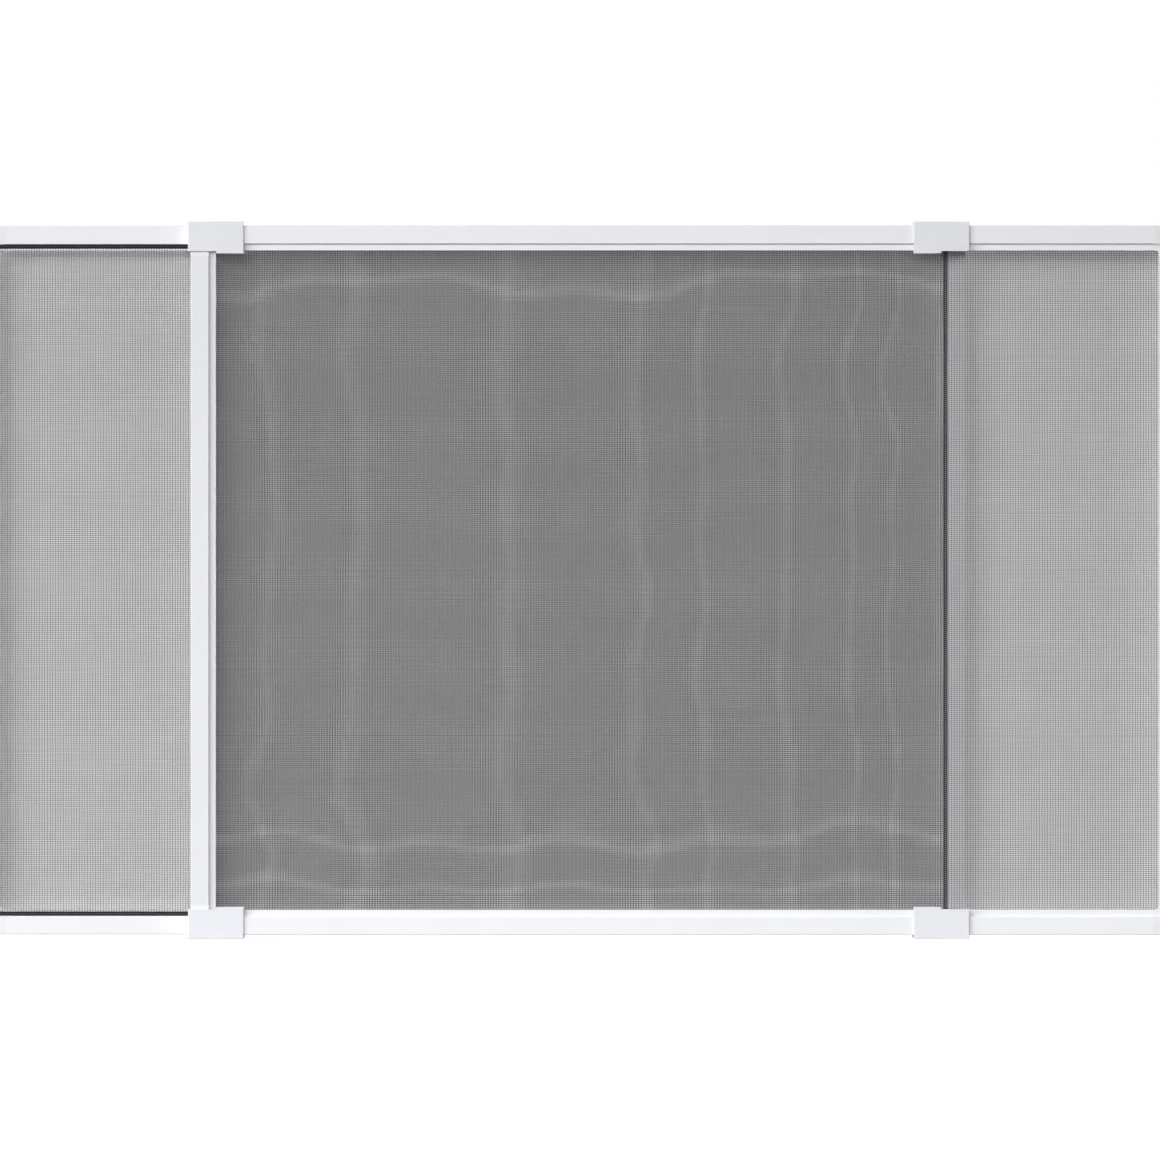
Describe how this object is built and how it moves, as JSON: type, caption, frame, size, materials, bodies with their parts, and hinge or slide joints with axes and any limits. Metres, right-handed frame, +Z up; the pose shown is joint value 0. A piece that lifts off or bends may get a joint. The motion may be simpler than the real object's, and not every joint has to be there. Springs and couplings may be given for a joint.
{
  "type": "window screen frame",
  "caption": "Extendable insect screen for a window: white framed mesh panels that slide past each other on plastic clips, with rubber spline round the mesh.",
  "frame": {"origin": "middle of the assembly's foot at rest, on the level of the lower clips' undersides", "axes": "+X along the width and the slide, +Z up, -Y towards the side that shows the front panel's flat face"},
  "size_m": [0.853, 0.0214, 0.5052],
  "materials": {
    "white_profile": "white powder coat",
    "corner_plastic": "moulded white",
    "clip_plastic": "moulded white",
    "black_spline": "matt black",
    "grey_mesh": "woven coated thread"
  },
  "bodies": {
    "back_panel": {"back_top_rail": "white_profile", "back_bottom_rail": "white_profile", "back_left_stile": "white_profile", "back_right_stile": "white_profile", "back_corner_top_left": "corner_plastic", "back_corner_top_right": "corner_plastic", "back_corner_bottom_left": "corner_plastic", "back_corner_bottom_right": "corner_plastic", "back_spline": "black_spline", "back_mesh": "grey_mesh", "clip_top_right": "clip_plastic", "clip_bottom_right": "clip_plastic"},
    "front_panel": {"front_top_rail": "white_profile", "front_bottom_rail": "white_profile", "front_left_stile": "white_profile", "front_right_stile": "white_profile", "front_corner_top_left": "corner_plastic", "front_corner_top_right": "corner_plastic", "front_corner_bottom_left": "corner_plastic", "front_corner_bottom_right": "corner_plastic", "front_spline": "black_spline", "front_mesh": "grey_mesh", "clip_top_left": "clip_plastic", "clip_bottom_left": "clip_plastic"}
  },
  "joints": [
    {"name": "front_panel_slide", "type": "slide", "parent": "back_panel", "child": "front_panel", "axis": [1, 0, 0], "range_m": [-0.153, 0.472]}
  ]
}
